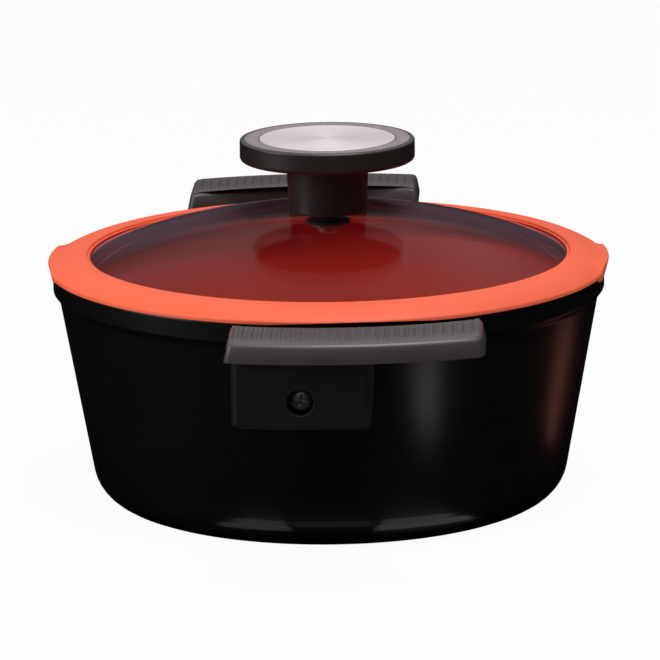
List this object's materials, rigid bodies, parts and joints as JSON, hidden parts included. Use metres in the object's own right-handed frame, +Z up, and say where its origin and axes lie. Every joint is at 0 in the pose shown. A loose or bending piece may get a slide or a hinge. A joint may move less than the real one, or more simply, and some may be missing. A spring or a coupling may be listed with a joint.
{
  "type": "casserole pot",
  "caption": "Low round casserole pot with offset flat grips, pouring lips and a lift-off glass lid in a wide silicone ring, with a mushroom knob.",
  "frame": {"origin": "middle of the base, on the surface that the pot stands on", "axes": "+Z up; +Y from the front handle's side to the rear handle's side, so the front handle is at -Y; +X to the right, with the pouring lips at +X and -X"},
  "size_m": [0.244, 0.361, 0.1584],
  "materials": {
    "black_enamel": "glossy black enamel on cast aluminium outside, orange-red ceramic non-stick coat inside",
    "black_phenolic": "moulded black phenolic, satin",
    "soft_touch_grip": "dark grey soft-touch moulding with fine ribs on top",
    "matt_black_knob": "moulded black phenolic, fine ribs round the top",
    "orange_silicone": "orange silicone, satin",
    "grey_silicone_seal": "grey silicone",
    "tempered_glass": "clear tempered glass",
    "brushed_stainless": "stainless steel with a turned sheen",
    "black_zinc_steel": "black zinc plated steel",
    "brass": "turned brass"
  },
  "bodies": {
    "pot": {"pot_body": "black_enamel", "front_handle_arm": "black_phenolic", "front_handle_grip": "soft_touch_grip", "front_handle_screw": "black_zinc_steel", "front_handle_washer": "black_zinc_steel", "rear_handle_arm": "black_phenolic", "rear_handle_grip": "soft_touch_grip", "rear_handle_screw": "black_zinc_steel", "rear_handle_washer": "black_zinc_steel"},
    "lid": {"lid_ring": "orange_silicone", "lid_glass": "tempered_glass", "lid_knob": "matt_black_knob", "knob_cap": "brushed_stainless", "knob_upper_seal": "grey_silicone_seal", "knob_insert": "brass", "knob_lower_seal": "grey_silicone_seal", "knob_washer": "brushed_stainless", "knob_screw": "brushed_stainless"}
  },
  "joints": [
    {"name": "lid_lift", "type": "slide", "parent": "pot", "child": "lid", "axis": [0, 0, 1], "range_m": [0, 0.15]}
  ]
}
